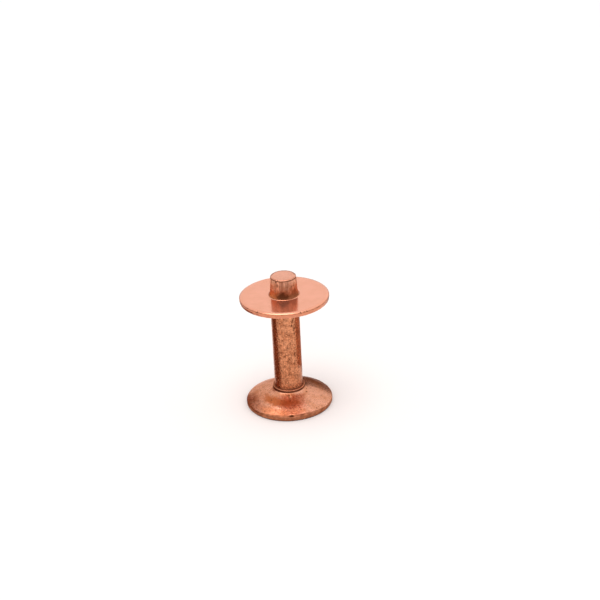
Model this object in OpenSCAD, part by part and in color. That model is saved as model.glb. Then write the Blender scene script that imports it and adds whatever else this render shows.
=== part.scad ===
// Copper belt rivet with its burr, as sold for leather and webbing.
// The rivet is one cold-headed piece: a thin round head with a coned underside, a narrow
// collar at the neck, a plain shank and a pointed, cut-off end. The burr is a punched disc
// that has been pressed over the pointed end and grips the top of the shank.
// Millimetres. The head's flat face lies on z = 0 and the shank rises along +Z.

/* [Shank] */
// Diameter of the shank
shank_d = 3.9; // [3:0.05:5]
// Overall length, from the head's face to the cut end
length = 19.05; // [15:0.05:30]

/* [Head] */
// Diameter of the head
head_d = 11.96; // [10:0.02:16]
// Height of the upright part of the head's rim
rim_land = 0.4; // [0.4:0.02:0.8]
// Radius rolled on the rim's upper edge
rim_roll = 0.36; // [0.1:0.02:0.38]
// Radius on the edge of the flat face
face_roll = 0.14; // [0.04:0.02:0.3]
// Slope of the head's coned underside, in degrees
cone_slope = 22.5; // [10:0.5:26]
// Radius of the sweep between the cone and the neck
neck_sweep = 1.5; // [0.6:0.05:1.8]
// Slope at which the sweep meets the collar, in degrees
neck_slope = 46; // [35:1:60]

/* [Collar] */
// How far the collar stands out from the shank
collar_step = 0.28; // [0.08:0.01:0.4]
// Height of the collar
collar_h = 0.34; // [0.15:0.01:0.6]
// Radius on the collar's upper edge
collar_roll = 0.1; // [0.03:0.01:0.12]

/* [Pointed end] */
// Height of the pointed end, from the ridge at its foot to the cut end
point_h = 2.65; // [1.6:0.05:4]
// Taper of the pointed end on each side, in degrees
end_taper = 3; // [1:0.25:5]
// Radius left on the edge of the cut end
end_roll = 0.06; // [0.02:0.01:0.12]
// How far the ridge at the foot of the point stands out from the shank
ridge_step = 0.12; // [0.06:0.01:0.16]
// Height of that ridge's underside, which the burr is pressed against
ridge_under = 0.06; // [0.03:0.01:0.15]
// Radius of the sweep from the point out to that ridge
ridge_sweep = 1.52; // [1:0.02:2]
// Slope of that sweep at the ridge, in degrees from upright
ridge_slope = 30; // [20:1:36]

/* [Burr] */
// Outer diameter of the burr
burr_d = 12.1; // [10:0.02:16]
// Thickness of the burr's sheet
burr_t = 0.74; // [0.4:0.02:1.2]
// Clearance between the burr's hole and the shank that it grips
grip_gap = 0; // [0:0.005:0.03]
// Width of the upper rim that the punch rolled over
burr_roll_w = 0.5; // [0.1:0.02:0.8]
// How far that roll drops at the rim
burr_roll_h = 0.17; // [0.05:0.01:0.25]
// Share of the rim below the roll that was cut clean before it tore
clean_share = 0.45; // [0.2:0.05:0.8]
// How far the torn part of the rim leans in
tear_step = 0.06; // [0.01:0.01:0.12]
// Height of the lip that is drawn up round the hole
lip_h = 0.06; // [0.03:0.01:0.2]
// Width of the top of that lip
lip_w = 0.12; // [0.06:0.01:0.2]
// Radius of the sweep from the burr's face up to the lip
lip_sweep = 0.22; // [0.2:0.01:0.5]
// Radius on the lower edge of the hole
hole_roll = 0.14; // [0.04:0.02:0.2]

/* [Die lines on the face] */
// Width of a line struck into the head's face
line_w = 0.22; // [0.1:0.01:0.4]
// Depth of a line
line_depth = 0.06; // [0.02:0.005:0.12]
// Share of its width and depth by which each line is fainter than the one before
line_fade = 0.02; // [0.005:0.005:0.03]

/* [Wear] */
// Radius of the nicks round the burr's rim
rim_nick = 0.13; // [0.05:0.01:0.2]
// Radius of the nick in the edge of the cut end
end_nick = 0.14; // [0.05:0.01:0.2]
// Length of the fold on the head's rim
fold_len = 0.9; // [0.3:0.1:1.5]
// Height of that fold
fold_h = 0.06; // [0.03:0.01:0.12]
// Depth of that fold
fold_depth = 0.1; // [0.04:0.01:0.2]

/* [Hidden] */
$fn = 96;
skin = 0.05;              // how far a cut starts outside the metal
ease = 0.0005;            // how far the cone lies inside the rolled rim, so that the two cross cleanly

shank_r = shank_d/2;
head_r = head_d/2;
burr_r = burr_d/2;
collar_r = shank_r + collar_step;
ridge_r = shank_r + ridge_step;
hole_r = shank_r + grip_gap;

// Where the rolled rim runs into the cone
cone_r = head_r - rim_roll + (rim_roll - ease)*sin(cone_slope);
cone_z = rim_land + (rim_roll - ease)*cos(cone_slope);
// The sweep's centre, where it leaves the cone, and the height at which it meets the collar
sweep_r = collar_r + neck_sweep*sin(neck_slope);
sweep_foot_r = sweep_r - neck_sweep*sin(cone_slope);
sweep_foot_z = cone_z + (cone_r - sweep_foot_r)*tan(cone_slope);
sweep_z = sweep_foot_z + neck_sweep*cos(cone_slope);
neck_z = sweep_z - neck_sweep*cos(neck_slope);

// The point: its sweep leaves the ridge, and its foot is where it runs into the taper
ridge_z = length - point_h;
ridge_c_r = ridge_r + ridge_sweep*cos(ridge_slope);
ridge_c_z = ridge_z + ridge_sweep*sin(ridge_slope);
point_foot_r = ridge_c_r - ridge_sweep*cos(end_taper);
point_foot_z = ridge_c_z - ridge_sweep*sin(end_taper);
end_r = point_foot_r - (length - point_foot_z)*tan(end_taper);

// The burr sits with its lip just under the ridge
burr_z = ridge_z - ridge_under - lip_h - burr_t;
lip_r = hole_r + lip_w;
lip_c_r = lip_r + sqrt(pow(lip_sweep, 2) - pow(lip_sweep - lip_h, 2));
tear_z = (burr_t - burr_roll_h)*(1 - clean_share);
burr_roll_r = (pow(burr_roll_w, 2) + pow(burr_roll_h, 2))/(2*burr_roll_h);

// Each line: its direction in degrees, then as shares of the head's radius how far it lies
// from the centre and where it starts and ends. They run from the deepest to the faintest.
die_lines = [
    [-27, 0.08, -0.75, 1.05], [86, 0.22, -0.8, 1.05], [1, 0.36, -1, 0.6], [4, 0.62, -0.55, 0.95],
    [33, -0.4, -0.55, 1], [91, -0.3, -1, 0.42], [28, 0.12, -1.05, 0.35], [58, 0.02, -0.42, 0.88],
    [-61, -0.1, -1.05, 0.2], [-34, -0.46, -0.95, 0.25], [84, -0.66, -0.35, 0.7], [15, -0.74, -0.5, 0.55],
    [52, 0.7, -0.6, 0.45], [63, -0.55, -0.7, 0.3], [-22, 0.55, -0.2, 0.78], [-55, 0.34, 0.05, 1],
    [6, -0.52, 0.1, 0.95], [-78, -0.78, -0.3, 0.5], [95, 0.58, -0.6, 0.15], [-12, 0.8, -0.45, 0.3],
    [24, 0.48, -0.8, -0.05], [-68, 0.76, -0.4, 0.35], [-3, -0.18, -1.05, -0.35], [72, 0.4, 0.1, 0.75]
];
// Directions of the nicks on the burr's rim, of the end's nick and of the fold, in degrees
rim_nicks = [-144, -130, -66, -61];
end_nick_at = -118;
fold_at = -90;

// What rounding takes off a square corner at the origin whose metal lies towards +X, +Y
module corner_waste(radius) {
    difference() {
        translate([-skin, -skin]) square(radius + skin);
        translate([radius, radius]) circle(radius);
    }
}

// Half section of the head: flat face, rolled rim, cone, and the sweep up to the collar
module head_section() {
    difference() {
        union() {
            polygon([
                [0, 0], [head_r - face_roll, 0], [head_r, face_roll], [head_r, rim_land],
                [cone_r, cone_z], [sweep_foot_r, sweep_foot_z], [collar_r, neck_z], [0, neck_z]
            ]);
            translate([head_r - face_roll, face_roll]) circle(face_roll);
            translate([head_r - rim_roll, rim_land]) circle(rim_roll);
        }
        translate([sweep_r, sweep_z]) circle(neck_sweep);
    }
}

// Half section of the collar, a short step with a rolled upper edge
module collar_section() {
    difference() {
        square([collar_r, neck_z + collar_h]);
        square([collar_r + skin, neck_z - collar_h]);
        translate([collar_r, neck_z + collar_h]) rotate(180) corner_waste(collar_roll);
    }
}

// Half section of the point: a taper that sweeps out to a small ridge at its foot
module point_section() {
    difference() {
        polygon([
            [0, ridge_z - ridge_under], [shank_r, ridge_z - ridge_under], [ridge_r, ridge_z],
            [point_foot_r, point_foot_z], [end_r, length], [0, length]
        ]);
        translate([ridge_c_r, ridge_c_z]) circle(ridge_sweep);
        translate([end_r, length]) rotate(180) corner_waste(end_roll);
    }
}

// One line struck into the face, a shallow V of this share of the full width and depth
module die_line(direction, offset, start, end, share) {
    half_w = share*line_w/2;
    rotate(direction)
        translate([start*head_r, offset*head_r, 0])
            rotate([90, 0, 90])
                linear_extrude((end - start)*head_r)
                    polygon([
                        [-half_w, 0], [-half_w, -skin], [half_w, -skin], [half_w, 0],
                        [0, share*line_depth]
                    ]);
}

module rivet() {
    color([0.8, 0.45, 0.31])
        difference() {
            rotate_extrude() {
                head_section();
                collar_section();
                translate([0, neck_z]) square([shank_r, ridge_z - neck_z]);
                point_section();
            }
            for (i = [0:len(die_lines) - 1])
                die_line(die_lines[i][0], die_lines[i][1], die_lines[i][2], die_lines[i][3], 1 - line_fade*i);
            rotate(end_nick_at) translate([end_r, 0, length]) sphere(end_nick);
            rotate(fold_at)
                translate([head_r - fold_depth, -fold_len/2, rim_land + rim_roll/2])
                    cube([rim_roll, fold_len, fold_h]);
        }
}

// Half section of the burr, with its lower face on y = 0
module burr_section() {
    difference() {
        polygon([
            [hole_r, 0], [burr_r - tear_step, 0], [burr_r, tear_z], [burr_r, burr_t],
            [lip_c_r, burr_t], [lip_r, burr_t + lip_h], [hole_r, burr_t + lip_h]
        ]);
        translate([lip_c_r, burr_t + lip_sweep]) circle(lip_sweep);
        translate([burr_r - burr_roll_w, burr_t - burr_roll_h])
            difference() {
                square([burr_roll_w + skin, burr_roll_h + skin]);
                translate([0, burr_roll_h - burr_roll_r]) circle(burr_roll_r);
            }
        translate([hole_r, 0]) corner_waste(hole_roll);
    }
}

module burr() {
    color([0.9, 0.56, 0.43])
        translate([0, 0, burr_z])
            difference() {
                rotate_extrude() burr_section();
                for (a = rim_nicks) rotate(a) translate([burr_r, 0, burr_t - burr_roll_h]) sphere(rim_nick);
            }
}

rivet();
burr();
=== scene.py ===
# %% [markdown]
# # A copper rivet with its burr
#
# A solid copper rivet is headed cold from drawn wire, so it is a round thing from end to end: a thin
# head with a coned underside, a collar, a plain shank and a pointed end. The burr is a washer that was
# punched from sheet and pressed over that end. Both shapes are turned here from a half outline, as a
# lathe would show them, and then get the marks that heading, drawing and punching leave.
#
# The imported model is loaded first. It gives the sizes that everything below has to keep. Sizes of the
# two pieces are written in millimetres, and MM turns them into Blender's metres.

# %% The frame
import math
import random

import bmesh
import bpy
from mathutils import Matrix, Vector, kdtree, noise


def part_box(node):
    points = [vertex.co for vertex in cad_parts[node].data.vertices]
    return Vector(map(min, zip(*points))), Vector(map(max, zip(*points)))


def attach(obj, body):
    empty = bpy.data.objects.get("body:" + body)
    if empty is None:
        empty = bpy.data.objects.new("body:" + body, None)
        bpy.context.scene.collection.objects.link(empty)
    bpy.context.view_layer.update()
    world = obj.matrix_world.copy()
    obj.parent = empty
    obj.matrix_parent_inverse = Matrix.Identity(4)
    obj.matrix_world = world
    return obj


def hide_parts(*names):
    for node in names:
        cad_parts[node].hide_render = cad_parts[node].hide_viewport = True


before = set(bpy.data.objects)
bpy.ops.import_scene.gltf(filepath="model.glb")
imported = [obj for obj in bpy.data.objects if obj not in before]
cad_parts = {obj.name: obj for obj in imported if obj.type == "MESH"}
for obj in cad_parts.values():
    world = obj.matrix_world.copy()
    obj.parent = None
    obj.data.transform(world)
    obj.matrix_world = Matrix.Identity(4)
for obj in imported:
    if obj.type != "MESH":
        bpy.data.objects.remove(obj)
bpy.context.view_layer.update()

MM = 0.001
scene = bpy.context.scene
scene.view_settings.view_transform = "Standard"

rivet_box = [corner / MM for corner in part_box("rivet")]
burr_box = [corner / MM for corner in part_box("burr")]
length = rivet_box[1].z
head_r = rivet_box[1].x
burr_r = burr_box[1].x
print(f"rivet {length:.2f} mm long, head {2 * head_r:.2f} mm, burr {2 * burr_r:.2f} mm across")

# %% [markdown]
# ## The camera
#
# The camera looks down at the rivet from the front through a long lens, so that the round head and the
# burr show as slim ovals. It could be aimed with a Track To constraint, but a plain matrix keeps the
# small lean of the camera exact and leaves nothing that other views would have to undo.

# %% Camera
CAMERA_AT = Vector((2.102, -161.716, 92.66)) * MM
LOOKS_DOWN = math.radians(25.57)
LEANS = math.radians(-2.8)
LENS = 80
SENSOR = 36

camera_data = bpy.data.cameras.new("camera")
camera_data.lens = LENS
camera_data.sensor_width = SENSOR
camera_data.clip_start = 5 * MM
camera_data.clip_end = 10
camera = bpy.data.objects.new("camera", camera_data)
scene.collection.objects.link(camera)
aim = Matrix.Rotation(math.radians(90) - LOOKS_DOWN, 4, "X") @ Matrix.Rotation(LEANS, 4, "Z")
camera.matrix_world = Matrix.Translation(CAMERA_AT) @ aim
scene.camera = camera
print("camera", [round(value / MM) for value in camera.location], "mm from the middle of the head's face")

# %% [markdown]
# ## Building node trees
#
# Each finish below is a node tree. Adding nodes one by one takes three lines each, so one helper makes
# a node, sets its options and fills its sockets, either with a value or with a link from another node.
# The three nodes that come up again and again, Map Range, Math and Mix, get a short form of their own.

# %% Helpers for nodes
EASED = "SMOOTHSTEP"


def add(tree, kind, inputs=None, **options):
    made = tree.nodes.new("ShaderNode" + kind)
    for name, value in options.items():
        setattr(made, name, value)
    for socket, value in (inputs or {}).items():
        if isinstance(value, bpy.types.NodeSocket):
            tree.links.new(value, made.inputs[socket])
        else:
            made.inputs[socket].default_value = value
    return made


def mapped(tree, value, low, high, to_low, to_high, blend="LINEAR"):
    """Sends the range from low to high to another range, and stops at its two ends."""
    return add(tree, "MapRange", {"Value": value, "From Min": low, "From Max": high, "To Min": to_low,
                                  "To Max": to_high}, interpolation_type=blend).outputs["Result"]


def maths(tree, operation, *values, **options):
    return add(tree, "Math", dict(enumerate(values)), operation=operation, **options).outputs["Value"]


def mixed(tree, share, first, second):
    """Mixes two colours, for which a Mix node has the inputs 6 and 7 and the output 2."""
    return add(tree, "Mix", {"Factor": share, 6: first, 7: second}, data_type="RGBA").outputs[2]


def blank_material(name):
    material = bpy.data.materials.new(name)
    material.use_nodes = True
    material.node_tree.nodes.clear()
    return material, material.node_tree


print("nodes are made by add(), mapped(), maths() and mixed()")

# %% [markdown]
# ## The floor and the light
#
# Bare copper has no colour of its own to show: it shows what stands round it, tinted. So the light is
# built for its reflections. The world is a pale tent, brightest behind and overhead, and dimmer low down,
# on the camera's side and at the left. A softbox above gives the rolled edges their bright lines. The
# floor is pale, with painted shade and light in its colour: near the rivet it is a little darker and
# pinker, a painted shadow with the copper's bounce in it, and far from the rivet it is paler, painted
# lighter where less of the softbox's light reaches it.

# %% World
# Strengths of the tent by height, by depth and from left to right
SKY_BEHIND = 1.0
SKY_LOW = 0.8
SKY_FRONT = 0.94
SKY_LEFT = 0.94
SKY_RIGHT = 1.06
# How far up, to the front and to a side those strengths are reached, in a direction of length 1
FULL_HEIGHT = 0.4
FULL_FRONT = -0.9
FULL_SIDE = 0.5
TENT_WHITE = (1.0, 0.985, 0.97)

world = bpy.data.worlds.new("tent")
scene.world = world
world.use_nodes = True
tree = world.node_tree
tree.nodes.clear()
direction = add(tree, "SeparateXYZ", {"Vector": add(tree, "TexCoord").outputs["Generated"]}).outputs
height = mapped(tree, direction["Z"], 0.0, FULL_HEIGHT, SKY_LOW, SKY_BEHIND, EASED)
depth = mapped(tree, direction["Y"], FULL_FRONT, 0.0, SKY_FRONT, 1.0, EASED)
across = mapped(tree, direction["X"], -FULL_SIDE, FULL_SIDE, SKY_LEFT, SKY_RIGHT)
level = maths(tree, "MULTIPLY", maths(tree, "MULTIPLY", height, depth), across)
tent = add(tree, "Background", {"Color": (*TENT_WHITE, 1), "Strength": level})
white = add(tree, "Background", {"Color": (1, 1, 1, 1), "Strength": 1.0})
mix = add(tree, "MixShader", {"Fac": add(tree, "LightPath").outputs["Is Camera Ray"],
                              1: tent.outputs["Background"], 2: white.outputs["Background"]})
add(tree, "OutputWorld", {"Surface": mix.outputs["Shader"]})
print("tent: behind", SKY_BEHIND, "low", SKY_LOW, "front", SKY_FRONT, "left", SKY_LEFT, "right", SKY_RIGHT)

# %% Floor
FLOOR_HALF = 1.5
FLOOR_GAP = 0.004 * MM
# Near the rivet the floor's colour is a painted shadow, a little darker and pinker with the copper's bounce;
# far out it is painted paler, where less of the softbox's light reaches it
FLOOR_NEAR_SHADED = (0.875, 0.835, 0.83)
FLOOR_FAR_BRIGHTENED = (0.915, 0.91, 0.92)
FADE_FROM = 0.08
FADE_TO = 0.22

bm = bmesh.new()
bmesh.ops.create_grid(bm, x_segments=1, y_segments=1, size=FLOOR_HALF)
bmesh.ops.translate(bm, verts=bm.verts[:], vec=(0, 0, -FLOOR_GAP))
floor_mesh = bpy.data.meshes.new("floor")
bm.to_mesh(floor_mesh)
bm.free()
floor = bpy.data.objects.new("floor", floor_mesh)
scene.collection.objects.link(floor)
material, tree = blank_material("pale_floor")
away = add(tree, "VectorMath", {0: add(tree, "TexCoord").outputs["Object"]}, operation="LENGTH")
light_fade = mapped(tree, away.outputs["Value"], FADE_FROM, FADE_TO, 0.0, 1.0)
tone = mixed(tree, light_fade, (*FLOOR_NEAR_SHADED, 1), (*FLOOR_FAR_BRIGHTENED, 1))
paper = add(tree, "BsdfPrincipled", {"Base Color": tone, "Roughness": 0.9, "Specular IOR Level": 0.1})
add(tree, "OutputMaterial", {"Surface": paper.outputs["BSDF"]})
floor_mesh.materials.append(material)
print("floor", 2 * FLOOR_HALF, "m across")

# %% Softbox
BOX_WIDTH = 0.34
BOX_AT = Vector((-0.05, -0.04, 0.40))
BOX_RADIANCE = 2.1
BOX_WHITE = (1.0, 0.98, 0.95)

box_data = bpy.data.lights.new("softbox", "AREA")
box_data.shape = "DISK"
box_data.size = BOX_WIDTH
box_data.energy = BOX_RADIANCE * math.pi * math.pi * BOX_WIDTH ** 2 / 4
box_data.color = BOX_WHITE
softbox = bpy.data.objects.new("softbox", box_data)
softbox.location = BOX_AT
softbox.rotation_euler = (-BOX_AT).to_track_quat("-Z", "Y").to_euler()
softbox.visible_camera = False
scene.collection.objects.link(softbox)
print(f"softbox {BOX_WIDTH} m wide, {box_data.energy:.2f} W")

# %% [markdown]
# ## Three dark cards
#
# A round bar under a pale tent looks flat. Product photographers stand dark cards beside it, just out
# of view, and their reflections draw the two dark bands down its sides. Here each card is one quad: a
# sloping one at the left, an upright one close to the shank at the right, and a wide one that leans away
# behind the head, which darkens the back edge of the cone. The right one stops short of the head, so
# that the cone's mirror image of the sky passes under it. Each card glows with a set colour, a painted
# reflection that only glossy rays see, so the cards shade nothing and light nothing else.

# %% Cards
# Each card: the colour it glows with, then its four corners in mm
CARDS = {
    "left_card": ((0.26, 0.10, 0.055), (-6.8, -5.2, 0), (-12.5, -3.3, 11), (-12.5, 12, 11), (-6.8, 5.2, 0)),
    "right_card": ((0.60, 0.32, 0.22), (3.2, -1.75, 5.3), (3.2, -1.75, 15.3), (3.2, 9, 15.3), (3.2, 9, 2)),
    "back_card": ((0.10, 0.05, 0.035), (1.5, 8, 0), (3, 28, 14), (24, 28, 9), (11, 8, 0))
}

for name, (colour, *corners) in CARDS.items():
    bm = bmesh.new()
    bm.faces.new([bm.verts.new(Vector(corner) * MM) for corner in corners])
    mesh = bpy.data.meshes.new(name)
    bm.to_mesh(mesh)
    bm.free()
    card = bpy.data.objects.new(name, mesh)
    scene.collection.objects.link(card)
    for ray in ("camera", "diffuse", "transmission", "volume_scatter", "shadow"):
        setattr(card, "visible_" + ray, False)
    material, tree = blank_material(name)
    glow = add(tree, "Emission", {"Color": (*colour, 1), "Strength": 1.0})
    add(tree, "OutputMaterial", {"Surface": glow.outputs["Emission"]})
    mesh.materials.append(material)
print("cards:", list(CARDS))

# %% [markdown]
# ## Turning a round piece
#
# A round piece could be a stack of cylinders and cones joined together, but their seams would have to
# be cut and blended. A half outline spun once round Z has none. The outline is a wire through a few
# corners, each with the radius that it is rolled to. Bevel in its vertex mode rounds those corners
# while they are still points, and long runs are subdivided so that there are vertices to shape later.
# One full spin of so fine a wire is slow, because each step searches all that is there already. So the
# wire is spun through one sixteenth of a turn, and that slice is repeated round the axis.

# %% The half outline
def outline(corners, closed=False, steps=8):
    """A wire in the XZ plane through corners of (radius, height, rolled radius), all in mm."""
    bm = bmesh.new()
    verts = [bm.verts.new((r * MM, 0, z * MM)) for r, z, roll in corners]
    pairs = list(zip(verts, verts[1:]))
    if closed:
        pairs.append((verts[-1], verts[0]))
    for start, end in pairs:
        bm.edges.new((start, end))
    turns = []
    for vert in verts:
        ends = [edge.other_vert(vert).co - vert.co for edge in vert.link_edges]
        turns.append(math.pi - ends[0].angle(ends[1]) if len(ends) == 2 else 0.0)
    for vert, turn, (_, _, roll) in zip(verts, turns, corners):
        if roll:
            bmesh.ops.bevel(bm, geom=[vert], affect="VERTICES", offset=roll * MM * math.tan(turn / 2),
                            offset_type="OFFSET", segments=steps, profile=0.5, material=-1)
    return bm


def subdivide_runs(bm, pitch_at):
    """Cuts each edge until its steps are no longer than the pitch, in mm, at its middle."""
    for edge in bm.edges[:]:
        middle = (edge.verts[0].co + edge.verts[1].co) / (2 * MM)
        cuts = math.ceil(edge.calc_length() / (pitch_at(middle) * MM)) - 1
        if cuts > 0:
            bmesh.ops.subdivide_edges(bm, edges=[edge], cuts=cuts)


print("outline() and subdivide_runs() are ready")

# %% The spin and the finished object
SLICES = 16
SAME_POINT = 0.0005 * MM
SHARP_ABOVE = math.radians(32)


def spin_round(bm, steps):
    slice_angle = 2 * math.pi / SLICES
    about = {"cent": (0, 0, 0), "axis": (0, 0, 1), "dvec": (0, 0, 0)}
    bmesh.ops.spin(bm, geom=bm.verts[:] + bm.edges[:], angle=slice_angle, steps=steps // SLICES,
                   use_merge=False, **about)
    bmesh.ops.spin(bm, geom=bm.verts[:] + bm.edges[:] + bm.faces[:], angle=2 * math.pi - slice_angle,
                   steps=SLICES - 1, use_duplicate=True, use_merge=False, **about)
    bmesh.ops.remove_doubles(bm, verts=bm.verts[:], dist=SAME_POINT)
    bmesh.ops.recalc_face_normals(bm, faces=bm.faces[:])


def finish_piece(bm, name):
    bmesh.ops.recalc_face_normals(bm, faces=bm.faces[:])
    mesh = bpy.data.meshes.new(name)
    bm.to_mesh(mesh)
    bm.free()
    mesh.shade_smooth()
    mesh.set_sharp_from_angle(angle=SHARP_ABOVE)
    piece = bpy.data.objects.new(name, mesh)
    scene.collection.objects.link(piece)
    mesh.calc_loop_triangles()
    print(name, len(mesh.loop_triangles), "triangles")
    return piece


print("spin_round() and finish_piece() are ready")

# %% [markdown]
# ## The rivet's outline
#
# The corners go from the edge of the flat face, up over the rolled rim and the cone to the collar, up
# the shank, over the small ridge that stops the burr, and up the pointed end to the middle of the cut.
# The hollow sweeps under the collar and above the ridge are corners as well: each lies where its two
# tangents meet. So is the crown, where the cone bends down a little further on its way to the rim.

# %% Sizes of the rivet
SHANK_R = 1.95
FACE_ROLL = 0.14
RIM_ROLL = 0.28
CONE_SLOPE = math.radians(20)
CROWN_R = 4.5
CROWN_SLOPE = math.radians(27.5)
CROWN_SWEEP = 4.0
COLLAR_R = 2.23
COLLAR_H = 0.34
COLLAR_ROLL = 0.1
COLLAR_FOOT_ROLL = 0.03
NECK_Z = 2.328
NECK_SWEEP = 1.5
NECK_SLOPE = math.radians(46)
RIDGE_R = 2.07
RIDGE_Z = 16.4
RIDGE_UNDER = 0.06
RIDGE_ROLL = 0.02
RIDGE_SWEEP = 1.52
RIDGE_LEAN = math.radians(30)
END_TAPER = math.radians(3)
END_ROLL = 0.06
EDGE_WIDTH = 0.16
EDGE_DROP = 0.09
CUT_ROLL = 0.08
# A sweep is rolled a touch tighter than its tangents allow, so that the bevels never meet
TRIM = 0.97
print("shank", 2 * SHANK_R, "mm, collar", 2 * COLLAR_R, "mm, ridge", 2 * RIDGE_R, "mm across")

# %% Rivet outline
# How far each sweep's tangents meet from its upper or lower end
neck_reach = NECK_SWEEP * math.tan((NECK_SLOPE - CONE_SLOPE) / 2)
ridge_reach = RIDGE_SWEEP * math.tan((RIDGE_LEAN - END_TAPER) / 2)
neck = Vector((COLLAR_R + neck_reach * math.cos(NECK_SLOPE), NECK_Z - neck_reach * math.sin(NECK_SLOPE)))
point_foot = Vector((RIDGE_R - ridge_reach * math.sin(RIDGE_LEAN),
                     RIDGE_Z + ridge_reach * math.cos(RIDGE_LEAN)))
collar_top = NECK_Z + COLLAR_H
crown_z = neck.y - (CROWN_R - neck.x) * math.tan(CONE_SLOPE)
rim_top = crown_z - (head_r - CROWN_R) * math.tan(CROWN_SLOPE)
end_r = point_foot.x - (length - point_foot.y) * math.tan(END_TAPER)

rivet_corners = [
    (head_r - 2 * FACE_ROLL, 0, 0), (head_r, 0, FACE_ROLL), (head_r, rim_top, RIM_ROLL),
    (CROWN_R, crown_z, CROWN_SWEEP), (neck.x, neck.y, TRIM * NECK_SWEEP), (COLLAR_R, NECK_Z, 0),
    (COLLAR_R, collar_top, COLLAR_ROLL), (SHANK_R, collar_top, COLLAR_FOOT_ROLL),
    (SHANK_R, RIDGE_Z - RIDGE_UNDER, 0), (RIDGE_R, RIDGE_Z, RIDGE_ROLL),
    (point_foot.x, point_foot.y, TRIM * RIDGE_SWEEP), (end_r, length - EDGE_DROP, END_ROLL),
    (end_r - EDGE_WIDTH, length, CUT_ROLL), (0, length, 0)
]
print(f"rim's corner at {rim_top:.3f} mm, cut end {2 * end_r:.3f} mm across")

# %% Rivet body
RIVET_STEPS = 256
SHANK_PITCH = 0.1
HEAD_PITCH = 0.11
POINT_PITCH = 0.07


def rivet_pitch(middle):
    if middle.z < RIDGE_Z and middle.x < SHANK_R + 0.01:
        return SHANK_PITCH
    return POINT_PITCH if middle.z > RIDGE_Z else HEAD_PITCH


bm = outline(rivet_corners)
subdivide_runs(bm, rivet_pitch)
print("rings", len(bm.verts))
spin_round(bm, RIVET_STEPS)
print("rivet body", len(bm.faces), "faces")

# %% [markdown]
# ## The lines on the face
#
# The face is struck by a worn die and comes out crossed by fine lines. Displacing a dense grid would
# blur them, so the face is one polygon that bisect_plane cuts along each line's edges, walls and
# bottom. Each cut plane gives vertices just where the line needs them, and lifting those vertices
# sinks the line into the metal. Each line is its direction in degrees, its distance from the centre,
# its start and its end, as shares of the head's radius, from the deepest to the faintest.

# %% Die lines
DIE_LINES = [
    (-27, 0.08, -0.75, 1.05), (86, 0.22, -0.8, 1.05), (1, 0.36, -1, 0.6), (4, 0.62, -0.55, 0.95),
    (33, -0.4, -0.55, 1), (91, -0.3, -1, 0.42), (28, 0.12, -1.05, 0.35), (58, 0.02, -0.42, 0.88),
    (-61, -0.1, -1.05, 0.2), (-34, -0.46, -0.95, 0.25), (84, -0.66, -0.35, 0.7), (15, -0.74, -0.5, 0.55),
    (52, 0.7, -0.6, 0.45), (63, -0.55, -0.7, 0.3), (-22, 0.55, -0.2, 0.78), (-55, 0.34, 0.05, 1),
    (6, -0.52, 0.1, 0.95), (-78, -0.78, -0.3, 0.5), (95, 0.58, -0.6, 0.15), (-12, 0.8, -0.45, 0.3),
    (24, 0.48, -0.8, -0.05), (-68, 0.76, -0.4, 0.35), (-3, -0.18, -1.05, -0.35), (72, 0.4, 0.1, 0.75)
]
LINE_HALF = 0.11
LINE_DEPTH = 0.06
LINE_FADE = 0.02
LINE_END = 0.25
CUTS_ACROSS = (-1.3, -1.0, -0.5, 0.0, 0.5, 1.0, 1.3)
FACE_DEPTH = 0.1
ON_PLANE = 0.0002 * MM


def line_axes(degrees):
    angle = math.radians(degrees)
    return Vector((math.cos(angle), math.sin(angle), 0)), Vector((-math.sin(angle), math.cos(angle), 0))


def line_height(point):
    """How far the deepest line at this point of the face, in mm, is sunk into the metal."""
    height = 0.0
    for i, (degrees, offset, start, end) in enumerate(DIE_LINES):
        share = 1 - LINE_FADE * i
        along, across = line_axes(degrees)
        side = abs(point.dot(across) - offset * head_r) / (share * LINE_HALF)
        to_end = min(point.dot(along) - start * head_r, end * head_r - point.dot(along))
        if side < 1 and to_end > 0:
            wall = (1 - side) * (1 + 0.5 * side)
            height = max(height, share * LINE_DEPTH * wall * min(1.0, to_end / LINE_END))
    return height


print(len(DIE_LINES), "lines, up to", LINE_DEPTH, "mm deep")

# %% Face of the head
bmesh.ops.edgeloop_fill(bm, edges=[edge for edge in bm.edges if edge.is_boundary])
parts = set()
for face in bm.faces:
    if face.calc_center_median().z < FACE_DEPTH * MM:
        parts.update([face], face.verts, face.edges)
parts = list(parts)
for i, (degrees, offset, *_) in enumerate(DIE_LINES):
    across = line_axes(degrees)[1]
    for cut in CUTS_ACROSS:
        place = across * (offset * head_r + cut * (1 - LINE_FADE * i) * LINE_HALF) * MM
        parts = bmesh.ops.bisect_plane(bm, geom=parts, dist=ON_PLANE, plane_co=place,
                                       plane_no=across)["geom"]
for vert in {part for part in parts if isinstance(part, bmesh.types.BMVert)}:
    vert.co.z = max(vert.co.z, line_height(vert.co / MM) * MM)
bmesh.ops.recalc_face_normals(bm, faces=bm.faces[:])
print("with the struck face", len(bm.faces), "faces")

# %% [markdown]
# ## Marks on the metal
#
# Nothing that was cold-headed and tumbled is a perfect turned shape. Three kinds of mark are moved into
# the vertices: a slow waviness that bends the reflections, small pits that are longer than wide where
# the wire was drawn through its die, and single dents and folds at the places where this rivet has
# them. A bump map could fake them, but they would vanish at the outline and from the mesh. All moves go
# into the metal, so the piece stays inside its CAD box.
#
# Each vertex also carries two shares for the finish to read. Soil is dark grime in pits, and painted
# shade and painted reflection elsewhere: in corners and creases, along edges, and where the metal
# mirrors dark things. Blush is the redder skin that copper keeps where nothing rubs it bright, and in
# places a painted reflection of copper nearby.

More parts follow.
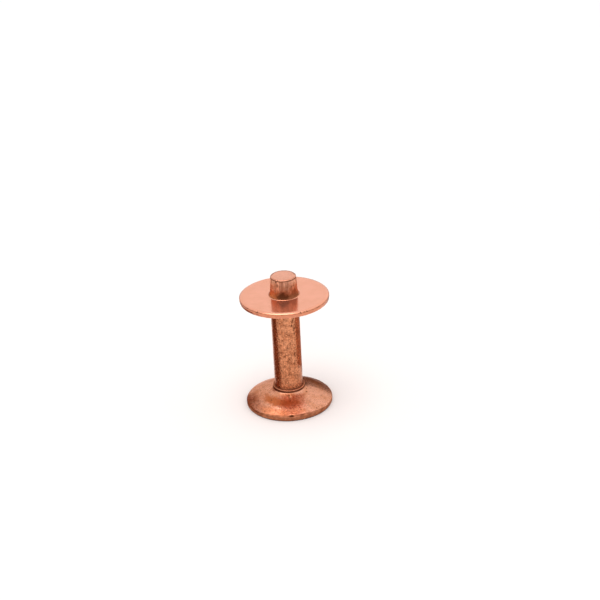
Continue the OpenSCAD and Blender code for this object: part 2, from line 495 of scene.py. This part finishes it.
# %% Helpers for marks
def waviness(bm, depth, size, seed, region):
    """Sinks a region by up to depth, in waves of a size, both in mm."""
    shift = Vector((seed, 2 * seed, 3 * seed))
    bm.normal_update()
    for vert in bm.verts:
        share = region(vert.co / MM)
        if share:
            wave = noise.noise(vert.co / (MM * size) + shift) - 1
            vert.co += vert.normal * (share * depth * wave * MM / 2)


def pit_tree(bm):
    bm.verts.ensure_lookup_table()
    tree = kdtree.KDTree(len(bm.verts))
    for i, vert in enumerate(bm.verts):
        tree.insert(vert.co, i)
    tree.balance()
    return tree


def pit(bm, tree, soil_and_shade, at, radius, depth, dirt_and_shade, long_way=Vector((0, 0, 1)), stretch=1.0):
    """Presses a dent at a point in mm, stretch times as long as it is wide, and dirties it."""
    for co, i, _ in tree.find_range(at * MM, radius * max(1.0, stretch) * MM):
        vert = bm.verts[i]
        away = (co - at * MM) / (radius * MM)
        along = away.dot(long_way)
        inside = 1 - (away.length_squared - along ** 2) - (along / stretch) ** 2
        if inside > 0:
            vert.co -= vert.normal * (depth * MM * inside ** 2)
            vert[soil_and_shade] = max(vert[soil_and_shade], dirt_and_shade * min(1.0, 1.6 * inside))


print("waviness() and pit() are ready")

# %% Helpers for places
def on_ring(degrees, radius, height):
    angle = math.radians(degrees)
    return Vector((radius * math.cos(angle), radius * math.sin(angle), height))


def degrees_from(point, degrees):
    return (math.degrees(math.atan2(point.y, point.x)) - degrees + 180) % 360 - 180


def ease(value, low, high):
    """Rises smoothly from 0 at low to 1 at high."""
    share = min(1.0, max(0.0, (value - low) / (high - low)))
    return share * share * (3 - 2 * share)


print("on_ring(), degrees_from() and ease() are ready")

# %% Waves in the rivet
def head_share(point):
    return 1.0 if 0.02 < point.z < NECK_Z else 0.0


def shank_share(point):
    return 1.0 if collar_top + 0.05 < point.z < RIDGE_Z - 0.15 else 0.0


def point_share(point):
    return 1.0 if RIDGE_Z + 0.1 < point.z < length - 0.001 else 0.0


# Each wave: depth and size in mm, seed and region
RIVET_WAVES = [
    (0.05, 1.6, 3, head_share), (0.012, 0.35, 5, head_share), (0.02, 1.5, 7, shank_share),
    (0.008, 0.3, 9, shank_share), (0.05, 0.9, 13, point_share), (0.012, 0.25, 15, point_share)
]
for depth, size, seed, region in RIVET_WAVES:
    waviness(bm, depth, size, seed, region)
print("waves in the head, the shank and the point")

# %% Pits in the shank
# Drawing leaves pits that lie along the shank, or lean by a few set angles. The score marks are a
# column of darker ones right of its front.
SHANK_PITS = 420
LEANINGS = (0, 0, 0, 35, -40, 80)
SCORE_PITS = 16
SCORE_AT = -59

random.seed(11)
soil_and_shade = bm.verts.layers.float.new("soil_and_shade")
blush_and_reflection = bm.verts.layers.float.new("blush_and_reflection")
bm.normal_update()
tree = pit_tree(bm)
for _ in range(SHANK_PITS):
    degrees = random.uniform(0, 360)
    lean = math.radians(random.choice(LEANINGS))
    long_way = on_ring(degrees + 90, math.sin(lean), math.cos(lean))
    at = on_ring(degrees, SHANK_R, random.uniform(NECK_Z + 0.5, RIDGE_Z - 0.3))
    big = random.random() ** 3
    pit(bm, tree, soil_and_shade, at, 0.06 + 0.08 * big, 0.015 + 0.035 * big, random.uniform(0.1, 0.62), long_way,
        random.uniform(1, 3))
for _ in range(SCORE_PITS):
    at = on_ring(SCORE_AT + random.uniform(-8, 8), SHANK_R, random.uniform(5, 13.5))
    pit(bm, tree, soil_and_shade, at, random.uniform(0.08, 0.14), 0.035, random.uniform(0.6, 0.95),
        stretch=random.uniform(1, 2.2))
print(SHANK_PITS, "pits and", SCORE_PITS, "score marks in the shank")

# %% Pits in the head and the point
HEAD_PITS = 90
POINT_PITS = 26


def cone_height(r):
    return min(neck.y - (r - neck.x) * math.tan(CONE_SLOPE), crown_z - (r - CROWN_R) * math.tan(CROWN_SLOPE))


for _ in range(HEAD_PITS):
    at = on_ring(random.uniform(0, 360), random.uniform(2.6, head_r - 0.3), 0)
    at.z = cone_height(at.xy.length)
    pit(bm, tree, soil_and_shade, at, random.uniform(0.1, 0.22), random.uniform(0.008, 0.025), random.uniform(0, 0.4))
for _ in range(POINT_PITS):
    at = on_ring(random.uniform(0, 360), end_r + 0.08, random.uniform(RIDGE_Z + 0.5, length - 0.2))
    pit(bm, tree, soil_and_shade, at, random.uniform(0.07, 0.2), random.uniform(0.015, 0.05),
        random.uniform(0.3, 0.8), stretch=random.uniform(1, 2.2))
print(HEAD_PITS, "pits in the head,", POINT_PITS, "in the point")

# %% Scratch, nick and fold
# A scratch runs down the cone under the collar, the cut end has a nick, and the metal is folded over
# itself in the front of the head's rim. Directions are in degrees, all else in mm.
SCRATCH_AT = -88
SCRATCH_OUT = 0.38
END_NICK_AT = -118
FOLD_AT = -88
FOLD_Z = 0.66
FOLD_LONG = 0.48
FOLD_HIGH = 0.15
FOLD_DEEP = 0.11

scratch = on_ring(SCRATCH_AT, neck.x + SCRATCH_OUT, neck.y - SCRATCH_OUT * math.tan(CONE_SLOPE))
down_cone = on_ring(SCRATCH_AT, math.cos(CONE_SLOPE), -math.sin(CONE_SLOPE))
pit(bm, tree, soil_and_shade, scratch, 0.24, 0.09, 0.0, down_cone, 2.4)
pit(bm, tree, soil_and_shade, on_ring(END_NICK_AT, end_r, length), 0.2, 0.12, 0.6)
pit(bm, tree, soil_and_shade, on_ring(END_NICK_AT - 6, end_r + 0.02, length - 0.34), 0.14, 0.05, 1.0)
for vert in bm.verts:
    point = vert.co / MM
    along = abs(math.radians(degrees_from(point, FOLD_AT)) * head_r) / FOLD_LONG
    up = abs(point.z - FOLD_Z + 0.03 * along) / FOLD_HIGH
    if point.xy.length > head_r - 0.4 and along < 1 and up < 1:
        vert.co.xy -= vert.co.xy.normalized() * (FOLD_DEEP * MM * (1 - along ** 4) * (1 - up))
        vert[soil_and_shade] = max(vert[soil_and_shade], (1 - along ** 4) * min(1.0, 2 * (1 - up)))
print("fold", 2 * FOLD_LONG, "mm long in the rim")

# %% [markdown]
# ## Where the rivet is dirty, red and painted with shade
#
# Grime, redness and painted shade could be painted by hand, but then they would not follow the shape
# when it changes. Here each part of the rivet has a small function that knows its corners and edges and
# gives the two shares at a point. A few smudges, each an oval with a ragged edge, add painted shade and
# painted reflections at set places on this rivet, with some stain.

# %% Smudges
# Each smudge: direction, radius and height, its half sizes round, out and up, then its soil with painted
# shade, and its blush with painted reflection. On the cone, the ovals at -116, 36 and 48 degrees are
# painted reflections, of the shank in front and of dark things behind, and those at -110 and -95 are
# painted shade that dims the softbox's light. The two at 16.6 mm high are painted shade at the foot of
# the point, where it mirrors the burr's hole.
SHADE_AND_STAIN_SMUDGES = [
    (-116, 3.7, 1.5, 4.2, 0.98, 2, 0.22, 1.0), (36, 4.3, 1.2, 2.2, 1.1, 2, 0.38, 0.8),
    (48, 5.8, 0.6, 2.8, 0.5, 2, 0.5, 0.5), (-110, 5.3, 1.0, 5.0, 0.9, 2, 0.04, 0.55),
    (-95, 2.5, 2.1, 1.6, 0.3, 0.4, 0.32, 0.5), (-170, 4.6, 1.2, 2.2, 0.8, 2, 0.1, 0.4),
    (120, 3.6, 1.6, 1.8, 0.9, 2, 0.15, 0.5), (-94, 1.9, 16.6, 1.5, 0.6, 1.4, 0.95, 0.8),
    (-46, 1.9, 16.6, 1.5, 0.6, 1.5, 0.68, 0.8)
]


def smudge_shade_and_soil(point, rough):
    dirt_and_shade = red = 0.0
    for degrees, out, up, half_arc, half_out, half_up, dark, ruddy_and_reflected in SHADE_AND_STAIN_SMUDGES:
        arc = math.radians(degrees_from(point, degrees)) * out
        sides = (arc / half_arc, (point.xy.length - out) / half_out, (point.z - up) / half_up)
        share = 1 - ease(Vector(sides).length + 0.25 * rough, 0.35, 1.0)
        dirt_and_shade = max(dirt_and_shade, dark * share)
        red = max(red, ruddy_and_reflected * share)
    return dirt_and_shade, red


print(len(SHADE_AND_STAIN_SMUDGES), "smudges")

# %% Soil and painted shade of the head, the shank and the point
# The rim's dark band, part tarnish and part painted shade that dims the softbox's line on its roll,
# starts RIM_FROM out, and further in at its front; its lowest edge is a painted contact shadow. The
# point is darker at its front, but for one painted highlight streak.
RIM_FROM = head_r - 0.14
FRONT_SHADE_AT = -86
FRONT_SHADE_WIDTH = 0.3
POINT_FRONT = -92
HIGHLIGHT_STREAK_TURN = -0.42


# The collar's top and side are painted shade, darkest in its crease. The rim's dark band is part tarnish and
# part painted shade, and its lowest edge a painted contact shadow.
def head_soil_and_shade(point, rough):
    dirt_and_shade = red = 0.0
    r, z = point.xy.length, point.z
    if z > collar_top - 0.02:
        dirt_and_shade = 0.65 * (1 - ease(r, COLLAR_R - 0.13, COLLAR_R - 0.05)) + 0.1 * rough
        red = 0.35
    elif z > NECK_Z - 0.06 and r > SHANK_R + 0.02:
        dirt_and_shade = 0.85 - 0.62 * ease(z, collar_top - 0.12, collar_top - 0.05) + 0.12 * rough
        red = 0.35
    rim_from = RIM_FROM - FRONT_SHADE_WIDTH * (1 - ease(abs(degrees_from(point, FRONT_SHADE_AT)), 15, 60))
    if r > rim_from and z < 1:
        from_edge = ease(r + 0.03 * rough, rim_from, rim_from + 0.1)
        dirt_and_shade = max(0.54 + 0.3 * rough, 1 - ease(z, 0.06, 0.24)) * from_edge
        red = 0.45 * from_edge * ease(z, 0.05, 0.3)
    return dirt_and_shade, red


# The crease at the shank's foot is painted shade; lower down, towards the head, the shank is also a little
# darker and redder
def shank_soil_and_shade(z, rough):
    low = 1 - ease(z, 4, 10)
    foot = 1 - ease(z, collar_top, collar_top + 0.35)
    return max(0.6 * foot, 0.1 * low) + 0.12 * rough, 0.12 * low


# The point is darker at its front, but for a painted highlight streak; the foot just above the ridge and a
# line just under the cut's edge are painted shade; the blush fades upwards
def point_shade_and_soil(point, rough):
    up = (point.z - RIDGE_Z) / (length - RIDGE_Z)
    turn = math.radians(degrees_from(point, POINT_FRONT))
    streak = noise.noise(Vector((5.5 * turn, 0.5 * point.z, 4)))
    streak += 0.4 * noise.noise(Vector((12 * turn, point.z, 9)))
    front = 1 - ease(abs(turn), 0.4, 1.0)
    highlight_streak = 1 - ease(abs(turn - HIGHLIGHT_STREAK_TURN), 0.05, 0.16)
    edge = 1 - ease(point.z - RIDGE_Z, 0.02, 0.09)
    top_shade_line = 1 - ease(abs(point.z - length + 0.17), 0.05, 0.11)
    dirt_and_shade = max(0.46 * front * (1 + 0.5 * streak) * (1 - highlight_streak), 0.8 * edge, 0.85 * top_shade_line,
               0.06 + 0.2 * streak)
    left = 0.35 + 0.65 * ease(-turn, -0.3, 0.6)
    return dirt_and_shade, left * max(0.1, 1 - ease(up + 0.15 * rough, 0.2, 0.55))


# A painted dark shade line round the back of the cut's edge, a little red
def cut_back_edge_shade(point):
    back_edge_shade = ease(point.xy.length, end_r - 0.36, end_r - 0.22) * ease(point.y, -0.3, 0.6)
    return 0.85 * back_edge_shade, 0.3 * back_edge_shade


print("the rim's grime starts at a radius of", round(RIM_FROM, 2), "mm")

# %% Soil, painted shade and blush on the rivet
for vert in bm.verts:
    point = vert.co / MM
    rough = noise.noise(point * 2.2) + 0.5 * noise.noise(point * 6)
    dirt_and_shade, red = smudge_shade_and_soil(point, rough)
    if point.z < collar_top + 0.005:
        more = head_soil_and_shade(point, rough)
    elif point.z < RIDGE_Z - RIDGE_UNDER:
        more = shank_soil_and_shade(point.z, rough)
    elif point.z < length - 0.06:
        more = point_shade_and_soil(point, rough)
    else:
        more = cut_back_edge_shade(point)
    vert[soil_and_shade] = min(1.0, max(vert[soil_and_shade], dirt_and_shade, more[0]))
    vert[blush_and_reflection] = min(1.0, max(red, more[1]))
rivet = finish_piece(bm, "rivet_copper_body")

# %% [markdown]
# ## The burr
#
# A punch rounds the sheet's upper edge as it goes in, shears the rim clean for part of its height and
# then tears the rest. The hole is punched and then forced over the end of the shank, which draws a small
# lip up round it. The outline is a closed one, because the burr is a ring. The wide roll on its upper
# edge is a corner too: it lies where the flat face meets the slope that the roll ends in.

# %% Burr outline
BURR_T = 0.74
ROLL_W = 0.5
ROLL_H = 0.17
CLEAN_SHARE = 0.45
TEAR_STEP = 0.06
TEAR_ROLL = 0.02
FOOT_ROLL = 0.03
LIP_H = 0.06
LIP_W = 0.12
LIP_SWEEP = 0.22
LIP_ROLL = 0.02
HOLE_ROLL = 0.14
EDGE_ROLL = 0.04
# The wide roll is a little tighter than one arc through both its ends would be
TIGHTER = 0.8

burr_z = burr_box[0].z
burr_top = burr_z + BURR_T
edge_z = burr_top - ROLL_H
tear_z = burr_z + (BURR_T - ROLL_H) * (1 - CLEAN_SHARE)
roll_r = (ROLL_W ** 2 + ROLL_H ** 2) / (2 * ROLL_H)
roll_turn = 2 * math.atan(ROLL_H / ROLL_W)
lip_turn = math.acos(1 - LIP_H / LIP_SWEEP)
lip_foot = SHANK_R + LIP_W + LIP_H / math.tan(lip_turn)
burr_corners = [
    (SHANK_R, burr_z, HOLE_ROLL), (burr_r - TEAR_STEP, burr_z, FOOT_ROLL), (burr_r, tear_z, TEAR_ROLL),
    (burr_r, edge_z, EDGE_ROLL), (burr_r - ROLL_H / math.tan(roll_turn), burr_top, TIGHTER * roll_r),
    (lip_foot, burr_top, TRIM * LIP_SWEEP), (SHANK_R + LIP_W, burr_top + LIP_H, LIP_ROLL),
    (SHANK_R, burr_top + LIP_H, 0)
]
print(f"burr from {burr_z:.2f} to {burr_top:.2f} mm, torn below {tear_z:.2f} mm")

# %% Burr body
BURR_STEPS = 512
RIM_PITCH = 0.06
SHEET_PITCH = 0.14

bm = outline(burr_corners, closed=True)
subdivide_runs(bm, lambda middle: RIM_PITCH if middle.x > burr_r - 0.1 else SHEET_PITCH)
print("rings", len(bm.verts))
spin_round(bm, BURR_STEPS)
print("burr body", len(bm.faces), "faces")

# %% [markdown]
# ## Marks on the burr
#
# The sheet is flatter than the rivet, so its waves are shallow. The torn part of the rim is pulled in
# along steep streaks, and a few nicks sit on its rounded edge, dark with soil. A painted dark line along
# that edge stands for its reflection of the dark camera side, painted shade lies at the foot of the rim
# and round the lip, and a little soil lies over the rim.

# %% Waves, tears and nicks
TEAR_DEPTH = 0.035
# Each nick: direction in degrees and radius
RIM_NICKS = ((-144, 0.13), (-134, 0.1), (-127, 0.16), (-69, 0.15), (-63.5, 0.1), (-60.5, 0.14))


def sheet_share(point):
    return 1.0 if SHANK_R + 0.5 < point.xy.length < burr_r - 0.05 else 0.0


waviness(bm, 0.02, 2.6, 21, sheet_share)
waviness(bm, 0.004, 0.7, 23, sheet_share)
for vert in bm.verts:
    point = vert.co / MM
    if point.xy.length > burr_r - 0.1 and point.z < tear_z + 0.05:
        torn = min(1.0, (tear_z + 0.05 - point.z) / 0.1)
        streak = noise.noise(Vector((point.x * 5, point.y * 5, point.z * 1.5))) - 0.6
        vert.co.xy += vert.co.xy.normalized() * (TEAR_DEPTH * torn * min(0.0, streak) * MM)
soil_and_shade = bm.verts.layers.float.new("soil_and_shade")
blush_and_reflection = bm.verts.layers.float.new("blush_and_reflection")
bm.normal_update()
tree = pit_tree(bm)
for degrees, nick_r in RIM_NICKS:
    pit(bm, tree, soil_and_shade, on_ring(degrees, burr_r - 0.03, edge_z + 0.03), nick_r, nick_r / 2, 1.0)
print(len(RIM_NICKS), "nicks in the burr's edge")

# %% Soil, painted shade and blush on the burr
def burr_soil_and_shade(point):
    """Soil with painted shade, and blush, at a point of the burr in mm."""
    r = point.xy.length
    rough = noise.noise(point * 2) + 0.6 * noise.noise(point * 7)
    on_rim = ease(r, burr_r - 0.12, burr_r - 0.04)
    # The edge line is a painted reflection of the dark camera side; the foot line and the lip are painted
    # shade
    edge_shade_line = on_rim * (1 - ease(abs(point.z - edge_z + 0.02), 0.02, 0.07))
    foot_shade_line = on_rim * (1 - ease(point.z, burr_z, burr_z + 0.1))
    lip = 1 - ease(r, SHANK_R + LIP_W, lip_foot + 0.02)
    dirt_and_shade = max(0.62 * edge_shade_line * (1 + rough), 0.6 * foot_shade_line * (1 + rough), 0.15 * lip,
               0.14 * on_rim * (1 + rough))
    return min(1.0, max(0.0, dirt_and_shade)), max(0.5 * on_rim, 0.6 * lip)


for vert in bm.verts:
    dirt_and_shade, red = burr_soil_and_shade(vert.co / MM)
    vert[soil_and_shade] = max(vert[soil_and_shade], dirt_and_shade)
    vert[blush_and_reflection] = red
burr = finish_piece(bm, "burr_copper_disc")

# %% [markdown]
# ## The copper
#
# One function makes each finish, because all of them are the same metal in different states. A slow
# noise lays a browner tarnish in patches, a fine one speckles it, a noise that is stretched one way
# gives the drawn or rolled grain, and a Voronoi pattern leaves dark pits. The same patterns drive the
# roughness and the bump, so a spot that is dark is also dull and sunk. All of it reads Object
# coordinates, turned into millimetres by a Mapping node, so the numbers are real sizes. Soil, with the
# painted shade it carries, and blush, with its painted reflection, come last, from the shares that the
# vertices carry.
#
# Two settings are the same all over a finish. Specular Tint darkens what tarnished metal mirrors at a
# glancing angle. Metallic is 1 but for the tumbled sheet, where a little less gives the faint matte haze
# that lightens the dark things it mirrors.

# %% Patterns in the copper
def texture(tree, vector, scale, detail, roughness):
    return add(tree, "TexNoise", {"Vector": vector, "Scale": scale, "Detail": detail,
                                  "Roughness": roughness}).outputs["Fac"]


def patterns(tree, patches, grain, speckle, pits):
    """Slow patches, fine speckle, drawn grain, and a mask of the pits that lie in the patches."""
    coords = add(tree, "TexCoord").outputs["Object"]
    in_mm = add(tree, "Mapping", {"Vector": coords, "Scale": (1 / MM, 1 / MM, 1 / MM)}).outputs["Vector"]
    along = add(tree, "Mapping", {"Vector": in_mm, "Scale": grain}).outputs["Vector"]
    patch = texture(tree, in_mm, patches, 5.0, 0.62)
    fine = texture(tree, in_mm, speckle, 3.0, 0.7)
    lines = texture(tree, along, 1.0, 3.0, 0.6)
    per_mm, size = pits
    cells = add(tree, "TexVoronoi", {"Vector": in_mm, "Scale": per_mm, "Randomness": 1.0})
    pitted = mapped(tree, cells.outputs["Distance"], 0.4 * size, size, 1.0, 0.0, EASED)
    in_patches = mapped(tree, patch, 0.5, 0.62, 0.0, 1.0)
    return patch, fine, lines, maths(tree, "MULTIPLY", pitted, in_patches)


def share_of(tree, name):
    return add(tree, "Attribute", attribute_name=name).outputs["Fac"]


print("patterns() is ready")

# %% One copper finish
# The dark colour of grime, also laid on as painted shade; the red of blush, also laid on as painted
# reflection of copper
SOIL_AND_SHADE = (0.10, 0.03, 0.012)
BLUSH_AND_REFLECTION = (0.62, 0.18, 0.065)


def copper(name, clean, tarnish, patches, grain, speckle, pits, roughness, depth, grazing=(1, 1, 1),
           bare=1.0):
    """patches and speckle are (features per mm, strength), grain is (scale per axis, strength), pits is
    (features per mm, size), roughness is (least, most), depth is the bump's height in mm, grazing tints
    what the metal mirrors when it is seen along its surface, and bare is how far it is free of haze."""
    material, tree = blank_material(name)
    patch, fine, lines, pit_mask = patterns(tree, patches[0], grain[0], speckle[0], pits)

    stain = mapped(tree, patch, 0.38, 0.66, 0.0, patches[1], EASED)
    tone = mixed(tree, stain, (*clean, 1), (*tarnish, 1))
    # Blush, in places a painted reflection of nearby copper and a painted shade over highlights
    ruddy_and_reflected = mixed(tree, share_of(tree, "blush_and_reflection"), tone, (*BLUSH_AND_REFLECTION, 1))
    speckled = mapped(tree, fine, 0.25, 0.75, 1 - speckle[1], 1 + speckle[1])
    grained = mapped(tree, lines, 0.25, 0.75, 1 - grain[1], 1 + grain[1])
    shade = maths(tree, "MULTIPLY", speckled, grained)
    toned = add(tree, "VectorMath", {0: ruddy_and_reflected, "Scale": shade}, operation="SCALE").outputs["Vector"]
    # Grime and painted shade from the vertices, together with the pits, darken and dull the metal
    grime_and_shade = maths(tree, "MAXIMUM", share_of(tree, "soil_and_shade"), pit_mask, use_clamp=True)
    colour = mixed(tree, grime_and_shade, toned, (*SOIL_AND_SHADE, 1))

    polish = mapped(tree, fine, 0.3, 0.7, roughness[0], roughness[1])
    dull = maths(tree, "MULTIPLY_ADD", grime_and_shade, 0.25, polish)
    relief = maths(tree, "MULTIPLY_ADD", pit_mask, -3.0, maths(tree, "ADD", fine, lines))
    bump = add(tree, "Bump", {"Height": relief, "Strength": 1.0, "Distance": depth * MM})
    metal = add(tree, "BsdfPrincipled", {"Base Color": colour, "Metallic": bare, "Roughness": dull,
                                         "Specular Tint": (*grazing, 1), "Normal": bump.outputs["Normal"]})
    add(tree, "OutputMaterial", {"Surface": metal.outputs["BSDF"]})
    return material


print("soil_and_shade", SOIL_AND_SHADE, "blush_and_reflection", BLUSH_AND_REFLECTION)

# %% Copper finishes
DARK_EDGE = (0.85, 0.7, 0.62)
DARKER_EDGE = (0.7, 0.5, 0.42)

HEAD = copper("struck_copper", (0.77, 0.355, 0.23), (0.62, 0.25, 0.13), (0.8, 0.8), ((3, 3, 3), 0.1),
              (4.5, 0.28), (2.2, 0.24), (0.22, 0.38), 0.014, DARK_EDGE)
RIM = copper("rolled_rim_copper", (0.76, 0.33, 0.19), (0.60, 0.22, 0.11), (0.9, 0.7), ((4, 4, 4), 0.1),
             (5.0, 0.24), (2.0, 0.2), (0.18, 0.32), 0.01, DARK_EDGE)
SHANK = copper("drawn_copper", (0.62, 0.255, 0.13), (0.44, 0.155, 0.07), (1.4, 0.9), ((8, 8, 0.6), 0.26),
               (4.5, 0.75), (2.6, 0.28), (0.12, 0.28), 0.016)
POINT = copper("point_copper", (0.81, 0.41, 0.27), (0.54, 0.22, 0.12), (1.2, 0.9), ((6, 6, 0.7), 0.22),
               (4.0, 0.32), (2.4, 0.26), (0.2, 0.34), 0.015, DARKER_EDGE)
CUT = copper("cut_copper", (0.85, 0.39, 0.265), (0.74, 0.33, 0.21), (0.8, 0.6), ((1.2, 8, 8), 0.03),
             (6.0, 0.05), (1.2, 0.08), (0.16, 0.24), 0.002)
SHEET = copper("sheet_copper", (0.89, 0.40, 0.27), (0.84, 0.37, 0.235), (0.5, 0.8), ((0.5, 6, 6), 0.02),
               (5.0, 0.03), (0.9, 0.05), (0.14, 0.2), 0.001, bare=0.9)
print("finishes:", [material.name for material in (HEAD, RIM, SHANK, POINT, CUT, SHEET)])

# %% Finish by region
RIVET_FINISHES = (HEAD, RIM, SHANK, POINT, CUT)
RIM_FINISH_FROM = RIM_FROM + 0.07
FACE_Z = 0.001


def rivet_finish(centre, normal):
    if centre.z < collar_top + 0.02:
        return RIM if centre.xy.length > RIM_FINISH_FROM and centre.z > FACE_Z else HEAD
    if centre.z < RIDGE_Z:
        return SHANK
    return CUT if normal.z > 0.5 else POINT


for material in RIVET_FINISHES:
    rivet.data.materials.append(material)
for polygon in rivet.data.polygons:
    material = rivet_finish(polygon.center / MM, polygon.normal)
    polygon.material_index = RIVET_FINISHES.index(material)
burr.data.materials.append(SHEET)
print("rivet has", len(rivet.data.materials), "finishes")

# %% [markdown]
# ## Into the frame
#
# Both pieces ride on the one body that the part has, and the CAD node that each stands in for is hidden.

# %% Into the frame
for piece, node, slot in ((rivet, "rivet", "rivet_copper"), (burr, "burr", "burr_copper")):
    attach(piece, "root")
    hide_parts(node)
bpy.context.view_layer.update()
